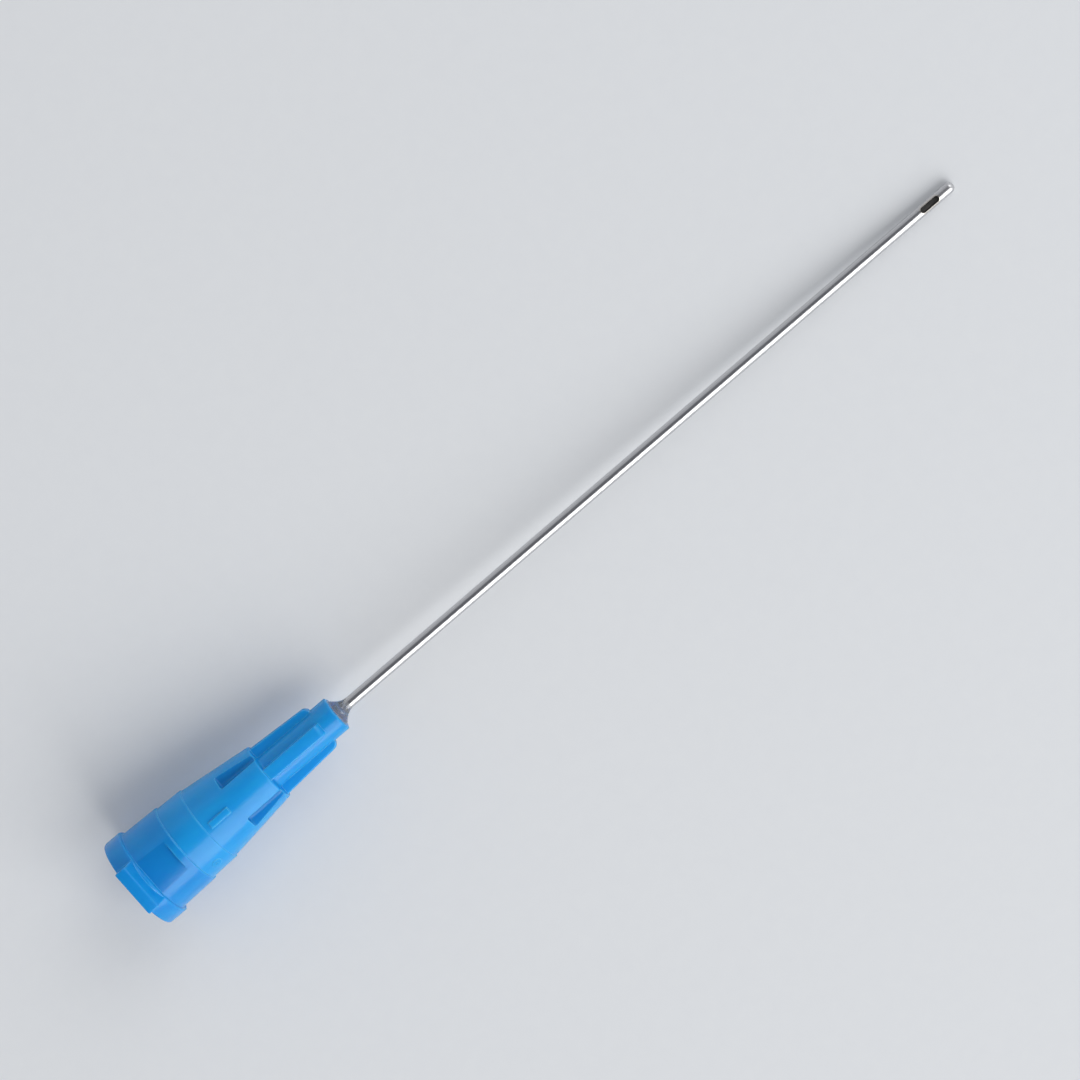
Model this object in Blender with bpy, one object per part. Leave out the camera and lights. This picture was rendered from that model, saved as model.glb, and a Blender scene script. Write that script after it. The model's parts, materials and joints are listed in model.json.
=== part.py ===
"""Blunt micro cannula: a moulded luer-lock hub with a closed-tip steel tube bonded in its nose.

The pieces are modelled along +X, from the luer end at x = 0 to the tip. They hang on one empty,
which lays the cannula down on z = 0 as it comes to rest: on its lower lug and on its tip.
"""

import math

import bmesh
import bpy
from mathutils import Matrix, Vector

mm = 0.001

# Luer-lock end: the socket, its rim and the two lugs
socket_mouth = 4.30 * mm
socket_taper = 0.06
socket_depth = 7.5 * mm
mouth_chamfer = 0.12 * mm
funnel_length = 1.4 * mm
skirt_wall = 0.82 * mm
rim_lip = 0.2 * mm
rim_length = 1.3 * mm
rim_edge = 0.12 * mm
rim_fillet = 0.08 * mm
lug_height = 0.73 * mm
lug_width = 3.2 * mm
lug_length = 1.3 * mm
lug_setback = 0.06 * mm
lug_slope = math.radians(25)
lug_edge = 0.1 * mm

# Skirt with the flat behind each lug, and the neck band
skirt_length = 2.7 * mm
flat_depth = 0.26 * mm
flat_length = 2.2 * mm
band_wall = 0.72 * mm
band_length = 1.9 * mm
band_edge = 0.06 * mm

# Body: four pads with a pocket cut out between each two
body_wall = 0.64 * mm
body_length = 5.0 * mm
body_edge = 0.1 * mm
pad_width = 2.4 * mm
pad_height = 0.8 * mm
pocket_length = 2.7 * mm
pocket_fillet = 0.25 * mm
mark_length = 1.5 * mm
mark_width = 0.45 * mm
mark_height = 0.12 * mm
mark_setback = 0.4 * mm

# Nose: a round core with four fins
core_radius = 1.2 * mm
nose_length = 5.6 * mm
nose_edge = 0.1 * mm
nose_fillet = 0.12 * mm
fin_length = 4.4 * mm
fin_width = 0.86 * mm
fin_root_height = 0.63 * mm
fin_end_height = 0.36 * mm
fin_end_round = 0.45 * mm
fin_edge = 0.1 * mm

# Glue well in the nose, and the cured bead
well_radius = 0.75 * mm
well_depth = 2.0 * mm
bead_spread = 0.22 * mm
bead_lip = 0.1 * mm
bead_length = 1.1 * mm

# Steel tube, 22 gauge
tube_diameter = 0.72 * mm
tube_wall = 0.14 * mm
tube_reach = 50.0 * mm
tube_setback = 0.3 * mm
tip_wall = 0.3 * mm
port_length = 1.4 * mm
port_width = 0.4 * mm
port_setback = 1.9 * mm

# Clearances
bore_clearance = 0.03 * mm
bond_gap = 0.015 * mm
cut_margin = 0.5 * mm

# Facets
hub_segments = 64
tube_segments = 32

# Stations along the axis, from the luer end
skirt_end = rim_length + skirt_length
band_end = skirt_end + band_length
body_end = band_end + body_length
nose_end = body_end + nose_length
tip_end = nose_end + tube_reach
funnel_end = socket_depth + funnel_length
well_floor = nose_end - well_depth
tube_start = funnel_end + tube_setback
pocket_start = body_end - pocket_length
fin_end = body_end + fin_length
mark_start = band_end + mark_setback

# Radii that follow from the sizes above
tube_radius = tube_diameter / 2
lumen_radius = tube_radius - tube_wall
bore_radius = tube_radius + bore_clearance
bead_foot = well_radius + bead_spread


def socket_radius(x):
    return (socket_mouth - socket_taper * min(x, socket_depth)) / 2


skirt_root = socket_radius(rim_length) + skirt_wall
rim_radius = socket_radius(0.0) + skirt_wall + rim_lip
lug_radius = rim_radius + lug_height
flat_level = skirt_root - flat_depth
body_root = socket_radius(band_end) + body_wall
body_tip = core_radius + pad_height
fin_root = core_radius + fin_root_height
fin_tip = core_radius + fin_end_height


def body_radius(x):
    share = (x - band_end) / body_length
    return body_root + (body_tip - body_root) * share


def fin_radius(x):
    share = (x - body_end) / fin_length
    return fin_root + (fin_tip - fin_root) * share


def clear_scene():
    for item in list(bpy.data.objects):
        bpy.data.objects.remove(item, do_unlink=True)


def arc(centre, radius, start, end, steps):
    """Points on an arc in the (x, r) plane, angles in degrees from +x towards +r."""
    points = []
    for step in range(steps + 1):
        angle = math.radians(start + (end - start) * step / steps)
        points.append((centre[0] + radius * math.cos(angle), centre[1] + radius * math.sin(angle)))
    return points


def finish_mesh(name, mesh_data, parent):
    bmesh.ops.remove_doubles(mesh_data, verts=mesh_data.verts, dist=1e-8)
    bmesh.ops.recalc_face_normals(mesh_data, faces=mesh_data.faces)
    mesh = bpy.data.meshes.new(name)
    mesh_data.to_mesh(mesh)
    mesh_data.free()
    mesh.shade_smooth()
    mesh.set_sharp_from_angle(angle=math.radians(30))
    item = bpy.data.objects.new(name, mesh)
    bpy.context.scene.collection.objects.link(item)
    item.parent = parent
    return item


def turned(name, profile, closed, segments, parent):
    """Spins a profile of (x, r) points round the X axis. A closed profile goes round a bore."""
    mesh_data = bmesh.new()
    verts = [mesh_data.verts.new((x, 0.0, r)) for x, r in profile]
    edges = [mesh_data.edges.new(pair) for pair in zip(verts, verts[1:])]
    if closed:
        edges.append(mesh_data.edges.new((verts[-1], verts[0])))
    bmesh.ops.spin(
        mesh_data,
        geom=verts + edges,
        cent=(0.0, 0.0, 0.0),
        axis=(1.0, 0.0, 0.0),
        angle=math.tau,
        steps=segments,
        use_merge=True,
    )
    return finish_mesh(name, mesh_data, parent)


def plate(name, outlines, width, parent, edge=0.0, turn=0.0):
    """Extrudes outlines of (x, z) points to a width centred on the axis, then turns them round it."""
    mesh_data = bmesh.new()
    for outline in outlines:
        verts = [mesh_data.verts.new((x, -width / 2, h)) for x, h in outline]
        face = mesh_data.faces.new(verts)
        grown = bmesh.ops.extrude_face_region(mesh_data, geom=[face])["geom"]
        moved = [part for part in grown if isinstance(part, bmesh.types.BMVert)]
        bmesh.ops.translate(mesh_data, verts=moved, vec=(0.0, width, 0.0))
    if edge:
        rounded = [side for side in mesh_data.edges if is_outline_edge(side)]
        bmesh.ops.bevel(mesh_data, geom=rounded, offset=edge, segments=2, profile=0.5, affect="EDGES")
    quarter = Matrix.Rotation(math.radians(turn), 3, "X")
    bmesh.ops.rotate(mesh_data, verts=mesh_data.verts, cent=(0.0, 0.0, 0.0), matrix=quarter)
    return finish_mesh(name, mesh_data, parent)


def is_outline_edge(side):
    """True for an edge that follows the outline, not for one that crosses the width."""
    return abs(side.verts[0].co.y - side.verts[1].co.y) < 1e-9


def combine(target, tool, operation):
    step = target.modifiers.new(tool.name, "BOOLEAN")
    step.operation = operation
    step.solver = "EXACT"
    step.object = tool
    tool.hide_render = True
    tool.display_type = "WIRE"


def paint(item, name, color, roughness, metallic, transmission=0.0):
    material = bpy.data.materials.new(name)
    material.use_nodes = True
    shader = material.node_tree.nodes["Principled BSDF"]
    shader.inputs["Base Color"].default_value = (*color, 1.0)
    shader.inputs["Roughness"].default_value = roughness
    shader.inputs["Metallic"].default_value = metallic
    shader.inputs["Transmission Weight"].default_value = transmission
    item.data.materials.append(material)


def hub_profile():
    """Outside of the moulding from the luer face to the nose face, as a solid of revolution."""
    rim_corner = (rim_edge, rim_radius - rim_edge)
    rim_back = (rim_length - rim_edge, rim_radius - rim_edge)
    points = [(0.0, 0.0)]
    points += arc(rim_corner, rim_edge, 180, 90, 3)
    points += arc(rim_back, rim_edge, 90, 0, 3)
    points += arc((rim_length + rim_fillet, skirt_root + rim_fillet), rim_fillet, 180, 270, 3)
    skirt_tip = socket_radius(skirt_end) + skirt_wall
    points += arc((skirt_end - band_edge, skirt_tip - band_edge), band_edge, 90, 0, 2)
    points += [(skirt_end, socket_radius(skirt_end) + band_wall)]
    band_tip = socket_radius(band_end) + band_wall
    points += arc((band_end - band_edge, band_tip - band_edge), band_edge, 90, 0, 2)
    points += [(band_end, body_root)]
    points += arc((body_end - body_edge, body_tip - body_edge), body_edge, 90, 0, 2)
    points += arc((body_end + nose_fillet, core_radius + nose_fillet), nose_fillet, 180, 270, 3)
    points += arc((nose_end - nose_edge, core_radius - nose_edge), nose_edge, 90, 0, 2)
    points += [(nose_end, 0.0)]
    return points


def bore_profile():
    """Everything that is hollow in the hub: socket, funnel, tube bore and glue well."""
    return [
        (-cut_margin, 0.0),
        (-cut_margin, socket_radius(0.0) + mouth_chamfer + cut_margin),
        (mouth_chamfer, socket_radius(mouth_chamfer)),
        (socket_depth, socket_radius(socket_depth)),
        (funnel_end, bore_radius),
        (well_floor, bore_radius),
        (well_floor, well_radius),
        (nose_end + cut_margin, well_radius),
        (nose_end + cut_margin, 0.0),
    ]


def lug_outline():
    """Both lugs as one bar through the socket, with the sloped faces that the locking thread pulls on."""
    slope_run = (lug_radius - skirt_root) * math.tan(lug_slope)
    crest = lug_length - slope_run
    root = skirt_root - cut_margin / 2
    upper = [(lug_setback, root), (lug_setback, lug_radius), (crest, lug_radius)]
    upper += [(lug_length, skirt_root), (lug_length, root)]
    lower = [(x, -h) for x, h in reversed(upper)]
    return upper + lower


def fin_outline():
    """Two opposite fins as one plate through the nose, each rounded off at its front end."""
    foot = (fin_end, core_radius - cut_margin / 2)
    centre = (fin_end - fin_end_round, fin_radius(fin_end) - fin_end_round)
    inside = body_end - cut_margin
    upper = [(inside, fin_radius(body_end))] + arc(centre, fin_end_round, 90, 0, 5) + [foot]
    lower = [(x, -h) for x, h in reversed(upper)]
    return upper + lower


def mark_outline():
    """Raised bar on the pad above the side port."""
    mark_end = mark_start + mark_length
    top_start = body_radius(mark_start) + mark_height
    top_end = body_radius(mark_end) + mark_height
    return [(mark_start, 0.0), (mark_start, top_start), (mark_end, top_end), (mark_end, 0.0)]


def pocket_cutters(parent):
    """Four corner blocks that leave the four pads standing."""
    mesh_data = bmesh.new()
    inner = pad_width / 2
    outer = inner + body_root
    for side_y in (-1, 1):
        for side_z in (-1, 1):
            block = bmesh.ops.create_cube(mesh_data, size=1.0)["verts"]
            bmesh.ops.scale(mesh_data, verts=block, vec=(pocket_length, outer - inner, outer - inner))
            middle = pocket_start + pocket_length / 2
            reach = (inner + outer) / 2
            bmesh.ops.translate(mesh_data, verts=block, vec=(middle, side_y * reach, side_z * reach))
    roots = [side for side in mesh_data.edges if is_pocket_root(side, inner)]
    bmesh.ops.bevel(mesh_data, geom=roots, offset=pocket_fillet, segments=3, profile=0.5, affect="EDGES")
    return finish_mesh("pocket_cutter", mesh_data, parent)


def is_pocket_root(side, inner):
    """True for the edge of a pocket block that lies nearest the axis."""
    return all(abs(abs(v.co.y) - inner) < 1e-7 and abs(abs(v.co.z) - inner) < 1e-7 for v in side.verts)


def make_hub(parent):
    hub = turned("hub", hub_profile(), False, hub_segments, parent)
    combine(hub, plate("lug_bar", [lug_outline()], lug_width, parent, lug_edge), "UNION")
    combine(hub, plate("upright_fins", [fin_outline()], fin_width, parent, fin_edge), "UNION")
    combine(hub, plate("level_fins", [fin_outline()], fin_width, parent, fin_edge, 90), "UNION")
    combine(hub, plate("port_mark", [mark_outline()], mark_width, parent), "UNION")
    combine(hub, pocket_cutters(parent), "DIFFERENCE")
    flat_end = rim_length + flat_length
    above = [
        (rim_length, flat_level),
        (rim_length, rim_radius + cut_margin),
        (flat_end, rim_radius + cut_margin),
        (flat_end, flat_level),
    ]
    below = [(x, -h) for x, h in reversed(above)]
    combine(hub, plate("flat_cutter", [above, below], lug_width + cut_margin, parent), "DIFFERENCE")
    bore_cutter = turned("bore_cutter", bore_profile(), False, hub_segments, parent)
    bore_cutter.rotation_euler.x = math.pi / hub_segments
    combine(hub, bore_cutter, "DIFFERENCE")
    paint(hub, "blue_plastic", (0.005, 0.22, 0.70), 0.22, 0.0, 0.3)
    return hub


def tube_profile():
    """Closed-tip tube: outside from the tip back to the rear end, then up the lumen to its end."""
    lumen_end = tip_end - tip_wall
    outside = arc((tip_end - tube_radius, 0.0), tube_radius, 0, 90, 8)
    inside = arc((lumen_end - lumen_radius, 0.0), lumen_radius, 90, 0, 5)
    return outside + [(tube_start, tube_radius), (tube_start, lumen_radius)] + inside


def port_outline():
    """Slot with round ends, in plan view."""
    half = (port_length - port_width) / 2
    middle = tip_end - port_setback
    front = arc((middle + half, 0.0), port_width / 2, -90, 90, 8)
    back = arc((middle - half, 0.0), port_width / 2, 90, 270, 8)
    return front + back


def port_cutter(parent):
    mesh_data = bmesh.new()
    verts = [mesh_data.verts.new((x, y, 0.0)) for x, y in port_outline()]
    face = mesh_data.faces.new(verts)
    grown = bmesh.ops.extrude_face_region(mesh_data, geom=[face])["geom"]
    moved = [part for part in grown if isinstance(part, bmesh.types.BMVert)]
    bmesh.ops.translate(mesh_data, verts=moved, vec=(0.0, 0.0, tube_diameter))
    return finish_mesh("port_cutter", mesh_data, parent)


def make_tube(parent):
    tube = turned("cannula_tube", tube_profile(), False, tube_segments, parent)
    combine(tube, port_cutter(parent), "DIFFERENCE")
    paint(tube, "steel", (0.62, 0.62, 0.63), 0.18, 1.0)
    return tube


def bead_profile():
    """Glue in the well, a rolled lip on the nose face and a hollow meniscus up the tube."""
    inner = tube_radius + bond_gap
    wall = well_radius - bond_gap
    face = nose_end + bond_gap
    top = nose_end + bead_length
    points = [(top, inner), (well_floor + bond_gap, inner), (well_floor + bond_gap, wall), (face, wall)]
    points += [(face, bead_foot)]
    points += [(face + bead_lip, bead_foot)]
    rise = top - face - bead_lip
    run = bead_foot - inner
    steps = 7
    for step in range(1, steps):
        share = step / steps
        points.append((face + bead_lip + rise * share, inner + run * (1 - share) ** 2.2))
    return points


def make_bead(parent):
    bead = turned("adhesive_bead", bead_profile(), True, tube_segments, parent)
    paint(bead, "clear_glue", (0.85, 0.88, 0.9), 0.12, 0.0, 0.7)
    return bead


def world_corners(pieces):
    graph = bpy.context.evaluated_depsgraph_get()
    points = []
    for piece in pieces:
        shape = piece.evaluated_get(graph)
        points += [shape.matrix_world @ vert.co for vert in shape.data.vertices]
    low = Vector([min(point[axis] for point in points) for axis in range(3)])
    high = Vector([max(point[axis] for point in points) for axis in range(3)])
    return low, high


def lay_down(axis, pieces):
    """Tips the cannula until lug and tip meet the floor, then centres it over the origin."""
    crest = lug_length - (lug_radius - skirt_root) * math.tan(lug_slope)
    drop = lug_radius - tube_radius
    axis.rotation_euler.y = math.atan2(drop, tip_end - tube_radius - crest)
    bpy.context.view_layer.update()
    low, high = world_corners(pieces)
    axis.location = (-(low.x + high.x) / 2, -(low.y + high.y) / 2, -low.z)


def main():
    clear_scene()
    axis = bpy.data.objects.new("cannula_axis", None)
    axis.empty_display_size = rim_radius
    bpy.context.scene.collection.objects.link(axis)
    pieces = [make_hub(axis), make_tube(axis), make_bead(axis)]
    lay_down(axis, pieces)


main()
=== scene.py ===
import json
import math
import bpy
from mathutils import Matrix, Vector


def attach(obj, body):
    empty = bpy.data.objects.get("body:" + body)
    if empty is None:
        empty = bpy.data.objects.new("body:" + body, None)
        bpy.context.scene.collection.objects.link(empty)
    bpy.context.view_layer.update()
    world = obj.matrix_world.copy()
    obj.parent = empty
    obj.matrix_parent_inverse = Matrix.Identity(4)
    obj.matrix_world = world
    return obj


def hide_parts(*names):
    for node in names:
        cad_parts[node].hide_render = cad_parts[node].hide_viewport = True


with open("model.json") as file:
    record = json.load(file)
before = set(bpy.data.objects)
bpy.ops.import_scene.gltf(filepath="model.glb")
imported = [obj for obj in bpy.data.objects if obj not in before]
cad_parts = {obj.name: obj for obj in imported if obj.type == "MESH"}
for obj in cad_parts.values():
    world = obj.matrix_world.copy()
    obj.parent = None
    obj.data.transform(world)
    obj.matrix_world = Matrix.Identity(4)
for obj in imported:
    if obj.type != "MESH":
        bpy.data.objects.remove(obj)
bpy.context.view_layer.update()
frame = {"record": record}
mm = 0.001
mergeReach = 1e-7  # in metres, points closer than this become one

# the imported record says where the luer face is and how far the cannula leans
luerFace = frame["record"]["mounts"][0]
luerCentre = Vector((luerFace["pos_m"][0], 0.0, luerFace["pos_m"][2]))
lean = math.atan2(luerFace["axis"][2], -luerFace["axis"][0])
print("frame loaded, the axis leans %.2f degrees" % math.degrees(lean))


class Wire:
    # one output of a node, so that + - * and abs on it add Math nodes
    def __init__(self, finish, socket):
        self.finish = finish
        self.socket = socket

    def maths(self, operation, *others):
        values = dict(enumerate((self,) + others))
        return self.finish.add("ShaderNodeMath", {"operation": operation}, values)

    def __add__(self, other):
        return self.maths("ADD", other)

    def __sub__(self, other):
        return self.maths("SUBTRACT", other)

    def __rsub__(self, other):
        return self.maths("MULTIPLY", -1.0) + other

    def __mul__(self, other):
        return self.maths("MULTIPLY", other)

    def __abs__(self):
        return self.maths("ABSOLUTE")

    __radd__ = __add__
    __rmul__ = __mul__

    def clipped(self):
        return self.maths("MINIMUM", 1.0).maths("MAXIMUM", 0.0)

    def ramp(self, low, high):
        # 0 below low, 1 above high, smooth between
        values = {"Value": self, "From Min": low, "From Max": high}
        return self.finish.add("ShaderNodeMapRange", {"interpolation_type": "SMOOTHSTEP"}, values)


class Finish:
    # the nodes of a material, or of the world
    def __init__(self, owner):
        owner.use_nodes = True
        self.tree = owner.node_tree
        self.tree.nodes.clear()

    def add(self, kind, settings, values, *outputs):
        # any node: its settings first, then its sockets, and back comes its first output or those named
        node = self.tree.nodes.new(kind)
        for name, value in settings.items():
            if name == "stops":
                self.setStops(node.color_ramp, value)
            else:
                setattr(node, name, value)
        for name, value in values.items():
            if isinstance(value, Wire):
                self.tree.links.new(value.socket, node.inputs[name])
            else:
                node.inputs[name].default_value = value
        wires = [Wire(self, node.outputs[name]) for name in outputs or node.outputs.keys()[:1]]
        return wires[0] if len(wires) == 1 else wires

    def setStops(self, ramp, stops):
        while len(ramp.elements) < len(stops):
            ramp.elements.new(0.5)
        for element, (place, tone) in zip(ramp.elements, stops):
            element.position = place
            element.color = tone

    def mixColours(self, factor, first, second):
        return self.add("ShaderNodeMix", {"data_type": "RGBA"}, {0: factor, 6: first, 7: second}, 2)

    def axisPlace(self):
        # millimetres along and across the cannula, from the luer face
        spot = self.add("ShaderNodeTexCoord", {}, {}, "Object")
        values = {"Vector": spot, "Location": luerCentre, "Rotation": (0.0, lean, 0.0), "Scale": (mm, mm, mm)}
        return self.add("ShaderNodeMapping", {"vector_type": "TEXTURE"}, values)

    def split(self, vector):
        return self.add("ShaderNodeSeparateXYZ", {}, {0: vector}, 0, 1, 2)

    def stretched(self, vector, scale):
        return self.add("ShaderNodeVectorMath", {"operation": "MULTIPLY"}, {0: vector, 1: scale})

    def noise(self, vector, scale, detail, roughness):
        values = {"Vector": vector, "Scale": scale, "Detail": detail, "Roughness": roughness}
        return self.add("ShaderNodeTexNoise", {"noise_dimensions": "3D"}, values)

    def softNormal(self, radius):
        # the normal as if edges were rounded by this many millimetres
        return self.add("ShaderNodeBevel", {"samples": 4}, {"Radius": radius * mm})

    def bump(self, height, **normal):
        # height in millimetres
        return self.add("ShaderNodeBump", {}, {"Strength": 1.0, "Distance": mm, "Height": height, **normal})

    def principled(self, values):
        self.end(self.add("ShaderNodeBsdfPrincipled", {}, values))

    def end(self, shader, kind="ShaderNodeOutputMaterial"):
        self.add(kind, {}, {"Surface": shader})


# pieces are modelled in the cannula's own axes: x in mm from the luer face towards the tip, z up
near = 0.1     # how close to a face of its block a point counts as on it
cutPast = 0.4  # how far a cutting block reaches past what it cuts


def deselectAll():
    if bpy.context.object and bpy.context.object.mode != "OBJECT":
        bpy.ops.object.mode_set(mode="OBJECT")
    bpy.ops.object.select_all(action="DESELECT")


def takeUp(piece):
    deselectAll()
    piece.select_set(True)
    bpy.context.view_layer.objects.active = piece


def startPicking(piece, kind):
    takeUp(piece)
    bpy.ops.object.mode_set(mode="EDIT")
    bpy.ops.mesh.select_mode(type=kind)
    bpy.ops.mesh.select_all(action="DESELECT")
    bpy.ops.object.mode_set(mode="OBJECT")


def movePoints(piece, test, step):
    # moves the points that pass the test, which is given their place in mm
    startPicking(piece, "VERT")
    for point in piece.data.vertices:
        point.select = test(point.co / mm)
    bpy.ops.object.mode_set(mode="EDIT")
    bpy.ops.transform.translate(value=step)
    bpy.ops.object.mode_set(mode="OBJECT")


def roundEdges(piece, test, size, steps):
    # rounds the edges that pass the test, which is given the places of their two ends in mm
    startPicking(piece, "EDGE")
    points = piece.data.vertices
    for edge in piece.data.edges:
        first, second = (points[number].co / mm for number in edge.vertices)
        edge.select = test(first, second)
    bpy.ops.object.mode_set(mode="EDIT")
    bpy.ops.mesh.bevel(offset=size * mm, segments=steps, affect="EDGES")
    bpy.ops.object.mode_set(mode="OBJECT")


def curveSteps(centre, radius, start, end, steps):
    # points of an arc in the (along, out) plane, angles in degrees
    points = []
    for step in range(steps + 1):
        angle = math.radians(start + (end - start) * step / steps)
        points.append((centre[0] + radius * math.cos(angle), centre[1] + radius * math.sin(angle)))
    return points


def settle(piece):
    # writes the object's place and turn into its mesh
    takeUp(piece)
    bpy.ops.object.transform_apply(location=True, rotation=True, scale=True)
    return piece


def drawOutline(name, outline, closed):
    # extrudes the outline point by point above the axis, and stays in edit mode with all of it selected
    deselectAll()
    bpy.ops.mesh.primitive_plane_add(size=mm)
    piece = bpy.context.object
    piece.name = name
    piece.data.name = name
    bpy.ops.object.mode_set(mode="EDIT")
    bpy.ops.mesh.select_mode(type="VERT")
    bpy.ops.mesh.select_all(action="SELECT")
    bpy.ops.mesh.merge(type="CENTER")
    along, out = outline[0]
    bpy.ops.transform.translate(value=(along * mm, 0.0, out * mm))
    path = outline[1:] + ([outline[0]] if closed else [])
    for nextAlong, nextOut in path:
        step = ((nextAlong - along) * mm, 0.0, (nextOut - out) * mm)
        bpy.ops.mesh.extrude_region_move(TRANSFORM_OT_translate={"value": step})
        along, out = nextAlong, nextOut
    bpy.ops.mesh.select_all(action="SELECT")
    return piece


def turnPiece(name, outline, segments, closed):
    # spins the outline round the axis
    piece = drawOutline(name, outline, closed)
    bpy.ops.mesh.spin(steps=segments, angle=math.tau, center=(0.0, 0.0, 0.0), axis=(1.0, 0.0, 0.0))
    bpy.ops.mesh.select_all(action="SELECT")
    bpy.ops.mesh.remove_doubles(threshold=mergeReach)
    bpy.ops.mesh.normals_make_consistent(inside=False)
    bpy.ops.object.mode_set(mode="OBJECT")
    return piece


def cutBlock(name, low, high):
    # a box between two corners, ready to be shaped
    deselectAll()
    middle = [(a + b) / 2 * mm for a, b in zip(low, high)]
    size = [(b - a) * mm for a, b in zip(low, high)]
    bpy.ops.mesh.primitive_cube_add(size=1.0, location=middle, scale=size)
    piece = bpy.context.object
    piece.name = name
    piece.data.name = name
    return settle(piece)


def cutRod(segments, radius, along, low, high):
    # an upright rod above the axis, between two heights
    deselectAll()
    place = (along * mm, 0.0, (low + high) / 2 * mm)
    depth = (high - low) * mm
    bpy.ops.mesh.primitive_cylinder_add(vertices=segments, radius=radius * mm, depth=depth, location=place)
    return settle(bpy.context.object)


def copyRound(piece, turns):
    # copies of a piece turned round the axis, each with its own mesh
    copies = [piece]
    for turn in turns:
        takeUp(piece)
        bpy.ops.object.duplicate()
        copy = bpy.context.object
        copy.rotation_euler.x = math.radians(turn)
        copies.append(settle(copy))
    return copies


def joinPieces(pieces):
    deselectAll()
    for piece in pieces:
        piece.select_set(True)
    bpy.context.view_layer.objects.active = pieces[0]
    bpy.ops.object.join()
    return pieces[0]


def combine(target, tool, operation):
    takeUp(target)
    step = target.modifiers.new(operation.lower(), "BOOLEAN")
    step.operation = operation
    step.solver = "EXACT"
    step.object = tool
    bpy.ops.object.modifier_apply(modifier=step.name)
    bpy.data.objects.remove(tool, do_unlink=True)


def tidyCuts(piece, sliver):
    # slivers beside a cut are dissolved, and the many-sided faces there are split evenly
    takeUp(piece)
    bpy.ops.object.mode_set(mode="EDIT")
    bpy.ops.mesh.select_mode(type="FACE")
    bpy.ops.mesh.select_all(action="SELECT")
    bpy.ops.mesh.dissolve_degenerate(threshold=sliver * mm)
    bpy.ops.mesh.select_all(action="DESELECT")
    bpy.ops.mesh.select_face_by_sides(number=4, type="GREATER")
    bpy.ops.mesh.quads_convert_to_tris(quad_method="BEAUTY", ngon_method="BEAUTY")
    bpy.ops.object.mode_set(mode="OBJECT")


def smoothPiece(piece, angle):
    takeUp(piece)
    bpy.ops.object.shade_smooth_by_angle(angle=math.radians(angle))
    print("%s: %d faces" % (piece.name, len(piece.data.polygons)))


def layDown(piece, node, material):
    # from the cannula's own axes to its place on the floor, where it stands for its CAD node
    piece.rotation_euler.y = lean
    piece.location = luerCentre
    settle(piece)
    piece.data.materials.clear()
    piece.data.materials.append(material)
    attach(piece, "root")
    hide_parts(node)


# the hub is one moulding, its sizes in mm
hubSizes = {
    "segments": 160, "smoothBelow": 32.0, "sliver": 0.0003,
    "socketMouth": 4.30, "socketTaper": 0.06, "socketDepth": 7.5, "socketEnd": 8.9,
    "mouthRound": 0.12, "wall": 0.82,
    "rimRadius": 3.17, "rimLength": 1.3, "rimRound": 0.12, "rimFillet": 0.08,
    "skirtEnd": 4.0, "edgeRound": 0.07,
    "bandEnd": 5.9, "bandWall": 0.72,
    "bodyEnd": 10.9, "bodyWall": 0.64, "bodyTip": 2.0, "bodyRound": 0.12,
    "coreRadius": 1.2, "coreFillet": 0.14, "noseEnd": 16.5, "noseRound": 0.14,
    "boreRadius": 0.39, "wellRadius": 0.75, "wellDepth": 2.0, "wellRound": 0.05,
}
lugSizes = {
    "start": 0.065, "end": 1.28, "width": 3.2, "radius": 3.9, "slope": 25.0, "sunk": 0.25, "round": 0.1,
}
flatSizes = {"start": 1.31, "end": 3.5, "width": 3.7, "level": 2.671, "round": 0.08}
pocketSizes = {"start": 8.2, "half": 1.2, "reach": 3.6, "round": 0.25, "endRound": 0.12}
finSizes = {
    "end": 15.3, "width": 0.86, "bottom": 0.85, "rootRadius": 1.83, "tipRadius": 1.56,
    "sunk": 0.4, "endRound": 0.42, "endSteps": 8, "round": 0.1,
}
markSizes = {"start": 6.3, "end": 7.8, "width": 0.45, "height": 0.12, "bottom": 2.25, "round": 0.05}
gateSizes = {
    "segments": 40, "middle": 4.95, "turn": 50.0, "sunk": 0.3, "round": 0.02,
    "scarRadius": 0.34, "scarHeight": 0.035, "nubRadius": 0.12, "nubHeight": 0.075,
}
seamSizes = {"start": 0.14, "width": 0.05, "height": 0.018, "stepShare": 0.7}


def socketRadius(along):
    return (hubSizes["socketMouth"] - hubSizes["socketTaper"] * along) / 2


def bodyRadius(along):
    root = socketRadius(hubSizes["bandEnd"]) + hubSizes["bodyWall"]
    share = (along - hubSizes["bandEnd"]) / (hubSizes["bodyEnd"] - hubSizes["bandEnd"])
    return root + (hubSizes["bodyTip"] - root) * share


def bodyOutline():
    # the outside, from the back edge of the rim to the end of the body
    s = hubSizes
    root = socketRadius(s["rimLength"]) + s["wall"]
    skirtTip = socketRadius(s["skirtEnd"]) + s["wall"]
    bandTip = socketRadius(s["bandEnd"]) + s["bandWall"]
    rim, fillet, edge, body = s["rimRound"], s["rimFillet"], s["edgeRound"], s["bodyRound"]
    points = curveSteps((s["rimLength"] - rim, s["rimRadius"] - rim), rim, 90, 0, 6)
    points += curveSteps((s["rimLength"] + fillet, root + fillet), fillet, 180, 270, 5)
    points += curveSteps((s["skirtEnd"] - edge, skirtTip - edge), edge, 88, 0, 5)
    points += [(s["skirtEnd"], socketRadius(s["skirtEnd"]) + s["bandWall"])]
    points += curveSteps((s["bandEnd"] - edge, bandTip - edge), edge, 88, 0, 5)
    points += [(s["bandEnd"], bodyRadius(s["bandEnd"]))]
    points += curveSteps((s["bodyEnd"] - body, s["bodyTip"] - body), body, 84, 0, 6)
    return points


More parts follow.
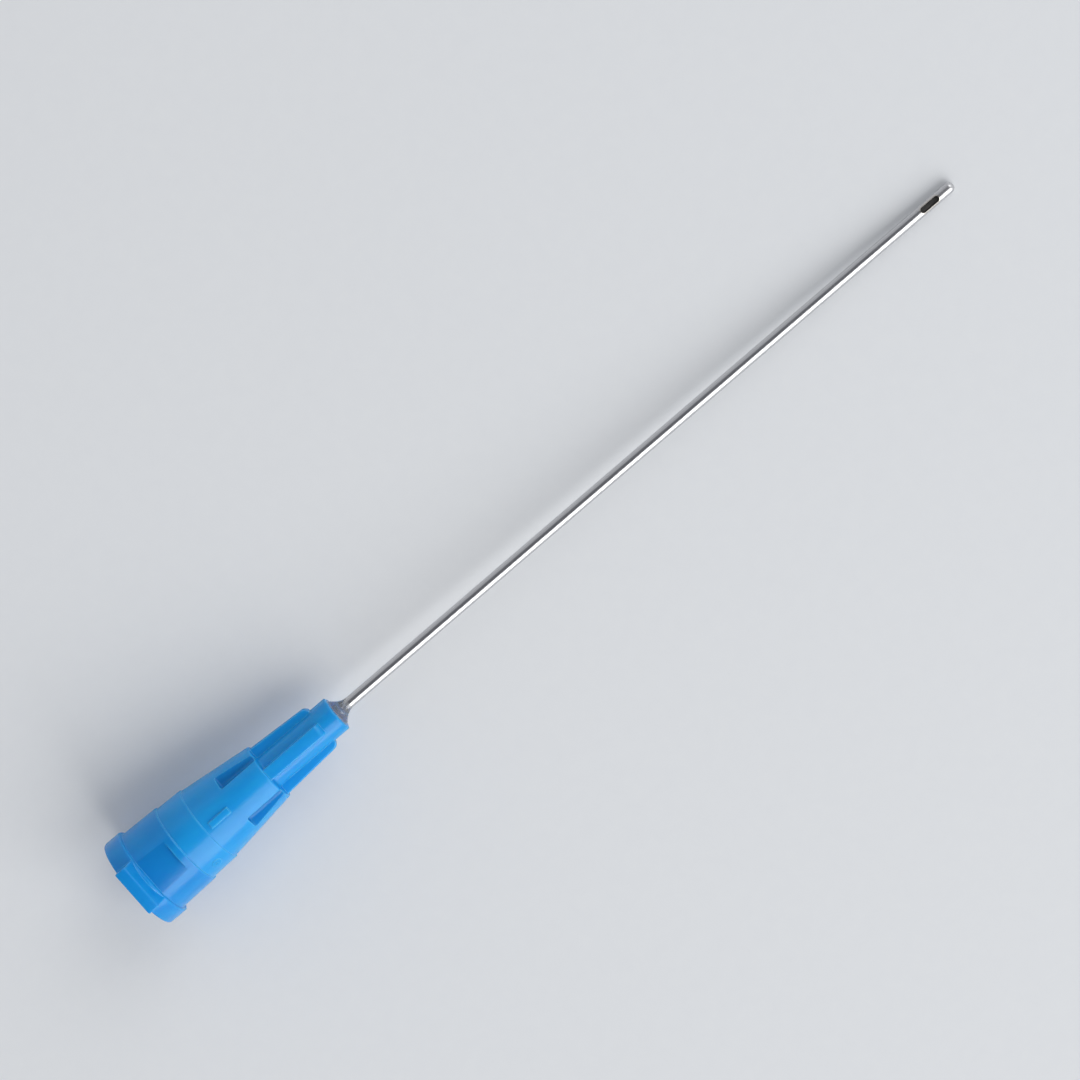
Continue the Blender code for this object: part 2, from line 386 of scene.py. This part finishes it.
def hubOutline():
    # all the way round: outside, nose, glue well, tube bore, funnel, socket and mouth
    s = hubSizes
    core, well, floor = s["coreRadius"], s["wellRadius"], s["noseEnd"] - s["wellDepth"]
    rim, fillet, nose = s["rimRound"], s["coreFillet"], s["noseRound"]
    lip, mouth = s["wellRound"], s["mouthRound"]
    points = curveSteps((rim, s["rimRadius"] - rim), rim, 180, 90, 6)
    points += bodyOutline()
    points += curveSteps((s["bodyEnd"] + fillet, core + fillet), fillet, 180, 270, 6)
    points += curveSteps((s["noseEnd"] - nose, core - nose), nose, 90, 0, 6)
    points += curveSteps((s["noseEnd"] - lip, well + lip), lip, 0, -90, 4)
    points += [(floor, well), (floor, s["boreRadius"]), (s["socketEnd"], s["boreRadius"])]
    points += [(s["socketDepth"], socketRadius(s["socketDepth"]))]
    points += curveSteps((mouth, socketRadius(0.0) + mouth), mouth, 270, 180, 5)
    return points


def makeLugs():
    # two lugs, each with its locking face sloped towards the rim
    s = lugSizes
    root = socketRadius(hubSizes["rimLength"]) + hubSizes["wall"]
    half = s["width"] / 2
    lug = cutBlock("lug", (s["start"], -half, root - s["sunk"]), (s["end"], half, s["radius"]))
    slopeRun = (s["radius"] - root) * math.tan(math.radians(s["slope"]))
    movePoints(lug, lambda p: p.x > s["end"] - near and p.z > root, (-slopeRun * mm, 0.0, 0.0))
    roundEdges(lug, lambda a, b: max(a.z, b.z) > root, s["round"], 4)
    return copyRound(lug, [180])


def makeFins():
    # four fins along the nose, their backs falling towards the tip
    s = finSizes
    start = hubSizes["bodyEnd"] - s["sunk"]
    fall = (s["rootRadius"] - s["tipRadius"]) / (s["end"] - hubSizes["bodyEnd"])
    half = s["width"] / 2
    fin = cutBlock("fin", (start, -half, s["bottom"]), (s["end"], half, s["rootRadius"] + fall * s["sunk"]))
    end, top = s["end"] - near, s["bottom"] + near
    movePoints(fin, lambda p: p.x > end and p.z > top, (0.0, 0.0, -fall * (s["end"] - start) * mm))
    roundEdges(fin, lambda a, b: min(a.x, b.x) > end and min(a.z, b.z) > top, s["endRound"], s["endSteps"])
    roundEdges(fin, lambda a, b: min(a.z, b.z) > top and abs(a.y - b.y) < near, s["round"], 4)
    return copyRound(fin, [90, 180, 270])


def makeMark():
    # a raised bar on the body, in line with the side port
    s = markSizes
    half = s["width"] / 2
    root, tip = bodyRadius(s["start"]), bodyRadius(s["end"])
    mark = cutBlock("mark", (s["start"], -half, s["bottom"]), (s["end"], half, root + s["height"]))
    top = s["bottom"] + near
    movePoints(mark, lambda p: p.x > s["end"] - near and p.z > top, (0.0, 0.0, (tip - root) * mm))
    roundEdges(mark, lambda a, b: min(a.z, b.z) > top, s["round"], 4)
    return mark


def makeGate():
    # scar of the gate on the neck band: a low round pad with the torn nub in its middle
    s = gateSizes
    surface = socketRadius(s["middle"]) + hubSizes["bandWall"]
    parts = []
    for radius, height in ((s["scarRadius"], s["scarHeight"]), (s["nubRadius"], s["nubHeight"])):
        part = cutRod(s["segments"], radius, s["middle"], surface - s["sunk"], surface + height)
        roundEdges(part, lambda a, b: min(a.z, b.z) > surface, s["round"], 3)
        parts.append(part)
    gate, nub = parts
    combine(gate, nub, "UNION")
    gate.rotation_euler.x = math.radians(s["turn"])
    return settle(gate)


def seamOutline():
    # follows the hub's outside and a fin's back, a little outside them, and comes back inside the wall
    s, fin, seam = hubSizes, finSizes, seamSizes
    outside = [(seam["start"], s["rimRadius"])] + bodyOutline() + [(s["bodyEnd"], fin["rootRadius"])]
    # the round end of a fin, between its sloping back and its upright end
    slant = math.degrees(math.atan2(fin["rootRadius"] - fin["tipRadius"], fin["end"] - s["bodyEnd"]))
    radius = fin["endRound"] * math.tan(math.radians(90 + slant) / 2)
    middle = (fin["end"] - radius, fin["tipRadius"] - fin["endRound"])
    arc = curveSteps(middle, radius, 90 - slant, 0, fin["endSteps"])
    outside += [spot for spot in arc if spot[1] > s["coreRadius"]] + [(fin["end"], s["coreRadius"])]
    nose = s["noseRound"]
    outside += curveSteps((s["noseEnd"] - nose, s["coreRadius"] - nose), nose, 90, 45, 3)
    path = [(along + seam["height"] * seam["stepShare"], out + seam["height"]) for along, out in outside]
    start, end = path[0][0], path[-1][0]
    path += [(end, (s["wellRadius"] + s["coreRadius"]) / 2), (s["bodyEnd"], fin["tipRadius"])]
    path += [(s["socketDepth"], socketRadius(s["socketDepth"]) + s["bodyWall"] / 3)]
    path += [(start, socketRadius(start) + s["wall"] / 2)]
    return path


def makeSeams():
    # flash along both sides, where the two halves of the mould meet
    width = seamSizes["width"] * mm
    seam = drawOutline("seam", seamOutline(), True)
    bpy.ops.mesh.remove_doubles(threshold=mergeReach)
    bpy.ops.mesh.edge_face_add()
    bpy.ops.mesh.extrude_region_move(TRANSFORM_OT_translate={"value": (0.0, width, 0.0)})
    bpy.ops.mesh.select_all(action="SELECT")
    bpy.ops.mesh.normals_make_consistent(inside=False)
    bpy.ops.transform.translate(value=(0.0, -width / 2, 0.0))
    bpy.ops.object.mode_set(mode="OBJECT")
    seam.rotation_euler.x = math.radians(90)
    return copyRound(settle(seam), [180])


def makePockets():
    # four corner pockets, which leave four pads on the body
    s = pocketSizes
    half, far = s["half"], s["reach"]
    pocket = cutBlock("pocket", (s["start"], half, half), (hubSizes["bodyEnd"] + cutPast, far, far))
    roundEdges(pocket, lambda a, b: max(a.y, b.y, a.z, b.z) < half + near, s["round"], 6)
    roundEdges(pocket, lambda a, b: max(a.x, b.x) < s["start"] + near, s["endRound"], 4)
    return copyRound(pocket, [90, 180, 270])


def makeFlats():
    # a flat behind each lug
    s = flatSizes
    half = s["width"] / 2
    level, end = s["level"] + near, s["end"] - near
    flat = cutBlock("flat", (s["start"], -half, s["level"]), (s["end"], half, lugSizes["radius"] + cutPast))
    roundEdges(flat, lambda a, b: max(a.z, b.z) < level and min(a.x, b.x) > end, s["round"], 4)
    return copyRound(flat, [180])


def makeHub():
    s = hubSizes
    hub = turnPiece("hubMoulding", hubOutline(), s["segments"], True)
    combine(hub, joinPieces(makeLugs() + makeFins() + [makeMark(), makeGate()]), "UNION")
    combine(hub, joinPieces(makeSeams()), "UNION")
    combine(hub, joinPieces(makePockets() + makeFlats()), "DIFFERENCE")
    tidyCuts(hub, s["sliver"])
    smoothPiece(hub, s["smoothBelow"])
    return hub


# scales count cycles in a millimetre, and heights are in millimetres
plasticLook = {
    "deepBlue": (0.004, 0.295, 0.755, 1.0), "paleBlue": (0.016, 0.425, 0.910, 1.0),
    "thinWallShadeBlue": (0.002, 0.205, 0.590, 1.0), "edgeHighlightBlue": (0.11, 0.58, 0.97, 1.0),
    # skirtShade and noseShade darken the skirt and the nose with painted shade
    "shade": 0.62, "flowShade": 0.8, "skirtShade": 0.50, "noseShade": 0.12, "noseFade": (10.0, 13.0),
    # flatShade and pocketShade darken the flats and pockets with painted shade
    "flatShade": 0.45, "flatMiddle": 2.68, "flatReach": 0.05, "pocketShade": 0.7, "edgeHighlightShare": 0.8,
    "edgeHighlightRadius": 0.15, "edgeSoftness": 0.06,
    "flowScale": 0.9, "grainScale": 16.0, "grainHeight": 0.0025, "rippleScale": 0.8, "rippleHeight": 0.004,
    "roughness": 0.11, "flowRoughness": 0.10, "grainRoughness": 0.12, "socketPolish": 0.8,
    "seeThrough": 0.18, "refraction": 1.49, "gloss": 0.38, "bounce": 0.4, "bounceReach": 0.6,
}


def bluePlastic():
    look, s = plasticLook, hubSizes
    material = bpy.data.materials.new("azurePlastic")
    finish = Finish(material)
    place = finish.axisPlace()
    along, side, up = finish.split(place)
    # slow swirls where the melt ran along the moulding
    flow = finish.noise(finish.stretched(place, (0.35, 1.0, 1.0)), look["flowScale"], 3.0, 0.55)
    # painted shade: the hollow skirt is painted much darker, and the solid nose a little darker, than the
    # band and body, standing in for the light through the plastic
    paintedSkirtShade = 1.0 - along.ramp(s["skirtEnd"] - 0.15, s["skirtEnd"] + 0.15)
    nose = along.ramp(*look["noseFade"])
    shade = (flow - 0.5) * look["flowShade"] - paintedSkirtShade * look["skirtShade"]
    shade = shade - nose * look["noseShade"] + look["shade"]
    colour = finish.mixColours(shade.clipped(), look["deepBlue"], look["paleBlue"])
    # painted shade on the flats and in the pockets, standing in for the dark inside seen through their thin
    # walls
    flats = abs(abs(up) - look["flatMiddle"]).maths("LESS_THAN", look["flatReach"])
    flats = flats * along.ramp(s["rimLength"] - 0.05, s["rimLength"] + 0.1)
    flats = flats * (1.0 - along.ramp(flatSizes["end"] - 0.08, flatSizes["end"] + 0.05))
    start, half = pocketSizes["start"], pocketSizes["half"]
    pockets = abs(side).ramp(half - 0.08, half + 0.04) * abs(up).ramp(half - 0.08, half + 0.04)
    pockets = pockets * along.ramp(start - 0.05, start + 0.1)
    pockets = pockets * (1.0 - along.ramp(s["bodyEnd"] - 0.05, s["bodyEnd"] + 0.05))
    paintedThinShade = flats * look["flatShade"] + pockets * look["pocketShade"]
    colour = finish.mixColours(paintedThinShade, colour, look["thinWallShadeBlue"])
    # painted highlight: the edges are painted a paler blue, standing in for light gathered by the clear
    # plastic's edges
    soft = finish.softNormal(look["edgeSoftness"])
    wide = finish.softNormal(look["edgeHighlightRadius"])
    plain = finish.add("ShaderNodeNewGeometry", {}, {}, "Normal")
    likeness = finish.add("ShaderNodeVectorMath", {"operation": "DOT_PRODUCT"}, {0: wide, 1: plain}, "Value")
    edge = (1.0 - likeness).ramp(0.01, 0.20) * look["edgeHighlightShare"]
    colour = finish.mixColours(edge, colour, look["edgeHighlightBlue"])
    # spark-eroded grain outside, and a polished socket
    outer = (side * side + up * up).maths("SQRT")
    mouth = socketRadius(0.0)
    polished = 1.0 - (outer + along * (s["socketTaper"] / 2)).ramp(mouth + 0.05, mouth + 0.15)
    polished = polished * (1.0 - along.ramp(s["socketDepth"] + 0.5, s["socketDepth"] + 1.1))
    grain = finish.noise(place, look["grainScale"], 4.0, 0.6) * (1.0 - polished * look["socketPolish"])
    ripple = finish.noise(finish.stretched(place, (1.0, 3.0, 3.0)), look["rippleScale"], 2.0, 0.4)
    height = grain * look["grainHeight"] + ripple * look["rippleHeight"]
    finish.principled({
        "Base Color": colour, "Normal": finish.bump(height, Normal=soft),
        "Roughness": flow * look["flowRoughness"] + grain * look["grainRoughness"] + look["roughness"],
        "Transmission Weight": look["seeThrough"], "IOR": look["refraction"],
        "Specular IOR Level": look["gloss"], "Subsurface Weight": look["bounce"],
        "Subsurface Radius": (0.2, 0.6, 1.0), "Subsurface Scale": look["bounceReach"] * mm,
    })
    return material


layDown(makeHub(), "hub", bluePlastic())


# the steel tube with its side port, in mm
tubeSizes = {
    "segments": 96, "smoothBelow": 35.0, "radius": 0.36, "lumen": 0.22, "start": 9.2, "end": 66.5,
    "tipWall": 0.3, "backRound": 0.03,
    "portMiddle": 64.6, "portLength": 1.4, "portWidth": 0.4, "portSegments": 48, "cutterHeight": 0.8,
}


def tubeOutline():
    # from the pole of the round tip back along the outside, and along the lumen to its blind end
    s = tubeSizes
    back = s["backRound"]
    points = curveSteps((s["end"] - s["radius"], 0.0), s["radius"], 0, 90, 16)
    # rings along the tube, so that no face is very long
    points += [(float(along), s["radius"]) for along in range(60, 10, -10)]
    points += curveSteps((s["start"] + back, s["radius"] - back), back, 90, 180, 3)
    points += [(s["start"], s["lumen"])]
    points += curveSteps((s["end"] - s["tipWall"] - s["lumen"], 0.0), s["lumen"], 90, 0, 10)
    return points


def makePortCutter():
    # a rod drawn out into the port's oval
    s = tubeSizes
    width, middle = s["portWidth"], s["portMiddle"]
    half = (s["portLength"] - width) / 2
    cutter = cutRod(s["portSegments"], width / 2, middle, 0.0, s["cutterHeight"])
    for side in (-1, 1):
        movePoints(cutter, lambda p: (p.x - middle) * side > width / 100, (side * half * mm, 0.0, 0.0))
    return cutter


def makeTube():
    tube = turnPiece("steelTube", tubeOutline(), tubeSizes["segments"], False)
    combine(tube, makePortCutter(), "DIFFERENCE")
    smoothPiece(tube, tubeSizes["smoothBelow"])
    return tube


steelLook = {
    "bright": (0.61, 0.61, 0.62, 1.0), "straw": (0.56, 0.49, 0.38, 1.0), "strawShare": 0.45,
    "lumenShadeGrey": (0.20, 0.195, 0.19, 1.0), "edgeSoftness": 0.02,
    "lineScale": 22.0, "lineHeight": 0.0016, "bandScale": 1.3, "ringScale": 26.0, "ringHeight": 0.0006,
    "roughness": 0.12, "lineRoughness": 0.16, "bandRoughness": 0.06, "ringRoughness": 0.10,
    "lumenRoughness": 0.25,
}


def drawnSteel():
    look, s = steelLook, tubeSizes
    material = bpy.data.materials.new("drawnSteel")
    finish = Finish(material)
    place = finish.axisPlace()
    along, side, up = finish.split(place)
    # fine lines from drawing, slow bands from straightening, and rings from polishing the tip
    lines = finish.noise(finish.stretched(place, (0.10, 1.0, 1.0)), look["lineScale"], 3.0, 0.6)
    bands = finish.noise(finish.stretched(place, (1.0, 0.2, 0.2)), look["bandScale"], 2.0, 0.5)
    rings = finish.noise(finish.stretched(place, (1.0, 0.05, 0.05)), look["ringScale"], 2.0, 0.5)
    rings = along.ramp(s["end"] - 4.0, s["end"] - 2.0) * rings
    roughness = lines * look["lineRoughness"] + bands * look["bandRoughness"] + rings * look["ringRoughness"]
    # faint straw colour round the port, from cutting it
    portHalf, portEdge = (s["portLength"] - s["portWidth"]) / 2, s["portWidth"] / 2
    portAlong = (abs(along - s["portMiddle"]) - portHalf).maths("MAXIMUM", 0.0)
    reach = (portAlong * portAlong + side * side).maths("SQRT")
    tint = (1.0 - reach.ramp(portEdge - 0.01, portEdge + 0.14)) * up.ramp(0.0, 0.1) * look["strawShare"]
    colour = finish.mixColours(tint, look["bright"], look["straw"])
    # the lumen isn't polished, so it is rougher; its darker colour is painted shade inside the bore
    lumenEnd = s["end"] - s["tipWall"]
    lumen = 1.0 - (side * side + up * up).maths("SQRT").ramp(s["lumen"] + 0.015, s["lumen"] + 0.08)
    lumen = lumen * (1.0 - along.ramp(lumenEnd + 0.02, lumenEnd + 0.10))
    height = lines * look["lineHeight"] + rings * look["ringHeight"]
    finish.principled({
        "Base Color": finish.mixColours(lumen, colour, look["lumenShadeGrey"]), "Metallic": 1.0,
        "Roughness": roughness + look["roughness"] + lumen * look["lumenRoughness"],
        "Normal": finish.bump(height, Normal=finish.softNormal(look["edgeSoftness"])),
    })
    return material


layDown(makeTube(), "cannula_tube", drawnSteel())


# the cured glue in the nose, in mm
glueSizes = {
    "segments": 96, "smoothBelow": 60.0, "bite": 0.005, "foot": 0.97, "lip": 0.035,
    "top": 17.6, "riseSteps": 20, "riseCurve": 2.2,
}


def glueOutline():
    # fills the well, laps over the end of the nose and rises along the tube
    s = glueSizes
    inner = tubeSizes["radius"] - s["bite"]
    wall = hubSizes["wellRadius"] + s["bite"]
    face = hubSizes["noseEnd"] - s["bite"]
    floor = face - hubSizes["wellDepth"]
    points = [(s["top"], inner), (floor, inner), (floor, wall), (face, wall)]
    points += curveSteps((face, s["foot"] - s["lip"]), s["lip"], 90, 40, 5)
    start, out = points[-1]
    for step in range(1, s["riseSteps"]):
        share = step / s["riseSteps"]
        height = (out - inner) * (1 - share) ** s["riseCurve"]
        points.append((start + (s["top"] - start) * share, inner + height))
    return points


def makeGlue():
    glue = turnPiece("gluedJoint", glueOutline(), glueSizes["segments"], True)
    smoothPiece(glue, glueSizes["smoothBelow"])
    return glue


glueLook = {
    "tint": (0.91, 0.94, 0.96, 1.0), "milk": (0.96, 0.97, 0.975, 1.0),
    "cloudScale": 1.6, "waveScale": 1.1, "waveHeight": 0.010, "bubbleScale": 4.0, "bubbleShare": 0.6,
    "roughness": 0.02, "cloudRoughness": 0.08, "seeThrough": 0.88, "refraction": 1.46,
}


def clearGlue():
    look = glueLook
    material = bpy.data.materials.new("clearGlue")
    finish = Finish(material)
    place = finish.axisPlace()
    cloud = finish.noise(place, look["cloudScale"], 2.0, 0.5)
    wave = finish.noise(place, look["waveScale"], 1.0, 0.4)
    # small bubbles show as milky dots inside the clear glue
    values = {"Vector": place, "Scale": look["bubbleScale"]}
    bubble = finish.add("ShaderNodeTexVoronoi", {"feature": "F1"}, values, "Distance")
    cloud = (cloud + (1.0 - bubble.ramp(0.06, 0.14)) * look["bubbleShare"]).maths("MINIMUM", 1.0)
    finish.principled({
        "Base Color": finish.mixColours(cloud, look["tint"], look["milk"]),
        "Roughness": cloud * look["cloudRoughness"] + look["roughness"],
        "Normal": finish.bump(wave * look["waveHeight"]),
        "Transmission Weight": look["seeThrough"], "IOR": look["refraction"],
    })
    return material


layDown(makeGlue(), "adhesive_bead", clearGlue())


floorLook = {
    "size": 6.0, "paper": (0.735, 0.75, 0.765, 1.0), "paperDark": (0.71, 0.725, 0.745, 1.0),
    "fibreScale": 900.0, "roughness": 0.7, "gloss": 0.2,
    "horizon": (0.818, 0.828, 0.848, 1.0), "fade": (0.07, 0.34),
}


def makeFloor():
    look = floorLook
    deselectAll()
    bpy.ops.mesh.primitive_plane_add(size=look["size"])
    floor = bpy.context.object
    floor.name = "paleFloor"
    material = bpy.data.materials.new("palePaper")
    finish = Finish(material)
    spot = finish.add("ShaderNodeTexCoord", {}, {}, "Object")
    fibre = finish.noise(spot, look["fibreScale"], 3.0, 0.6)
    colour = finish.mixColours(fibre, look["paperDark"], look["paper"])
    values = {"Base Color": colour, "Roughness": look["roughness"], "Specular IOR Level": look["gloss"]}
    paper = finish.add("ShaderNodeBsdfPrincipled", {}, values)
    # far from the object the paper runs into the pale horizon, where it is seen and not where it lights
    horizon = finish.add("ShaderNodeEmission", {}, {"Color": look["horizon"], "Strength": 1.0})
    distance = finish.add("ShaderNodeVectorMath", {"operation": "LENGTH"}, {0: spot}, "Value")
    rays = finish.add("ShaderNodeLightPath", {}, {}, "Is Camera Ray", "Is Glossy Ray", "Is Transmission Ray")
    seen = rays[0].maths("MAXIMUM", rays[1]).maths("MAXIMUM", rays[2])
    share = distance.ramp(*look["fade"]) * seen
    finish.end(finish.add("ShaderNodeMixShader", {}, {0: share, 1: paper, 2: horizon}))
    floor.data.materials.append(material)


# the room is pale all round, with a dark ceiling that draws the dark line along the steel
roomLook = {
    "stops": [
        (0.0, (0.82, 0.83, 0.85, 1.0)), (0.60, (0.84, 0.85, 0.86, 1.0)),
        (0.76, (0.17, 0.175, 0.19, 1.0)), (1.0, (0.13, 0.135, 0.15, 1.0)),
    ],
    "dimWall": (0.24, 0.255, 0.29, 1.0), "dimShare": 0.5,
    "dimBack": 0.9, "dimTip": 0.45, "dimFade": (0.1, 0.8),
}


def makeRoom():
    look = roomLook
    world = bpy.data.worlds.new("softRoom")
    bpy.context.scene.world = world
    finish = Finish(world)
    direction = finish.add("ShaderNodeTexCoord", {}, {}, "Generated")
    towardsTip, towardsBack, height = finish.split(direction)
    tone = finish.add("ShaderNodeValToRGB", {"stops": look["stops"]}, {"Fac": height})
    # the wall opposite the key lamp is dim, where it lights and not where it is seen
    unseen = 1.0 - finish.add("ShaderNodeLightPath", {}, {}, "Is Camera Ray")
    dim = (towardsBack * look["dimBack"] - towardsTip * look["dimTip"]).ramp(*look["dimFade"]) * unseen
    tone = finish.mixColours(dim * look["dimShare"], tone, look["dimWall"])
    background = finish.add("ShaderNodeBackground", {}, {"Color": tone, "Strength": 1.0})
    finish.end(background, "ShaderNodeOutputWorld")


# places and sizes in metres, power in watts
lampSizes = {
    "keyLamp": {"place": (0.10, -0.50, 0.46), "size": 0.68, "power": 3.6},
    "fillLamp": {"place": (0.45, 0.20, 0.45), "size": 0.40, "power": 0.8},
}
lampAim = Vector((0.0, 0.0, 0.004))


def makeLamps():
    for name, lamp in lampSizes.items():
        data = bpy.data.lights.new(name, "AREA")
        data.shape = "SQUARE"
        data.size = lamp["size"]
        data.energy = lamp["power"]
        item = bpy.data.objects.new(name, data)
        item.location = lamp["place"]
        item.rotation_euler = (lampAim - item.location).to_track_quat("-Z", "Y").to_euler()
        bpy.context.scene.collection.objects.link(item)


# from overhead, leaning a little towards the top and the right of the picture, angles in degrees
cameraSizes = {
    "lens": 128.0, "clipStart": 0.01, "aim": (0.0, 0.0, 0.003), "height": 0.234,
    "leanUp": 7.7, "leanRight": 2.5, "axisRise": 40.5,
}


def makeCamera():
    s = cameraSizes
    turn = math.radians(-s["axisRise"])
    right = Vector((math.cos(turn), math.sin(turn), 0.0))
    up = Vector((-math.sin(turn), math.cos(turn), 0.0))
    offset = right * math.tan(math.radians(s["leanRight"])) + up * math.tan(math.radians(s["leanUp"]))
    offset.z = 1.0
    back = offset.normalized()
    across = (right - back * right.dot(back)).normalized()
    data = bpy.data.cameras.new("overheadCamera")
    data.lens = s["lens"]
    data.clip_start = s["clipStart"]
    camera = bpy.data.objects.new("overheadCamera", data)
    matrix = Matrix((across, back.cross(across), back)).transposed().to_4x4()
    matrix.translation = Vector(s["aim"]) + offset * s["height"]
    camera.matrix_world = matrix
    bpy.context.scene.collection.objects.link(camera)
    bpy.context.scene.camera = camera


makeFloor()
makeRoom()
makeLamps()
makeCamera()
bpy.context.scene.view_settings.view_transform = "Standard"
print("floor, room, lamps and camera are in place")
